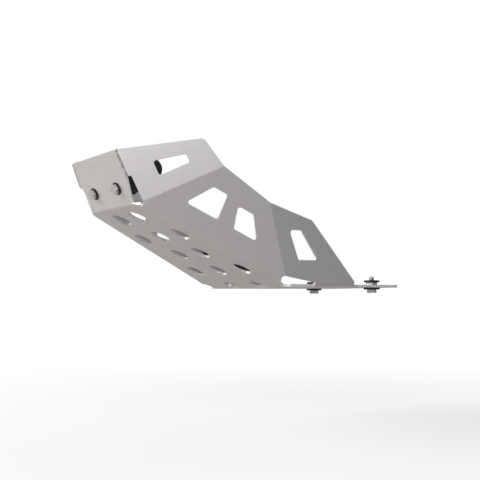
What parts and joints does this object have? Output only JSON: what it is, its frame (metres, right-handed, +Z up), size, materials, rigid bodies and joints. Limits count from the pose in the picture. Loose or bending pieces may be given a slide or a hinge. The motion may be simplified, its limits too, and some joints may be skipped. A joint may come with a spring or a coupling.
{
  "type": "motorcycle skid plate",
  "caption": "folded aluminium skid plate: sloped underside with drain holes, windowed side wings, front panel with bracket, and a flat rear tail on two bolts",
  "frame": {"origin": "midway between the two rear bolts, in the plane of the round nuts' upper faces, where the free threads enter the motorcycle's frame", "axes": "+Z up, -Y towards the front of the motorcycle, +X to its left; the rear flat is level"},
  "size_m": [0.2848, 0.4837, 0.2031],
  "materials": {
    "sheet": "satin",
    "weld_metal": "satin",
    "zinc_steel": "satin",
    "black_steel": "satin",
    "bracket_paint": "satin",
    "bush_rubber": "matte"
  },
  "bodies": {
    "root": {"skid_plate": "sheet", "weld_left": "weld_metal", "weld_right": "weld_metal", "front_bolt_left": "zinc_steel", "front_bolt_right": "zinc_steel", "front_washer_left": "zinc_steel", "front_washer_right": "zinc_steel", "front_bush_left": "bush_rubber", "front_bush_right": "bush_rubber", "front_nut_left": "zinc_steel", "front_nut_right": "zinc_steel", "front_bracket": "bracket_paint", "rear_bolt_left": "zinc_steel", "rear_bolt_right": "zinc_steel", "rear_washer_left": "black_steel", "rear_washer_right": "black_steel", "rear_spacer_left": "zinc_steel", "rear_spacer_right": "zinc_steel", "rear_nut_left": "black_steel", "rear_nut_right": "black_steel"}
  },
  "joints": []
}
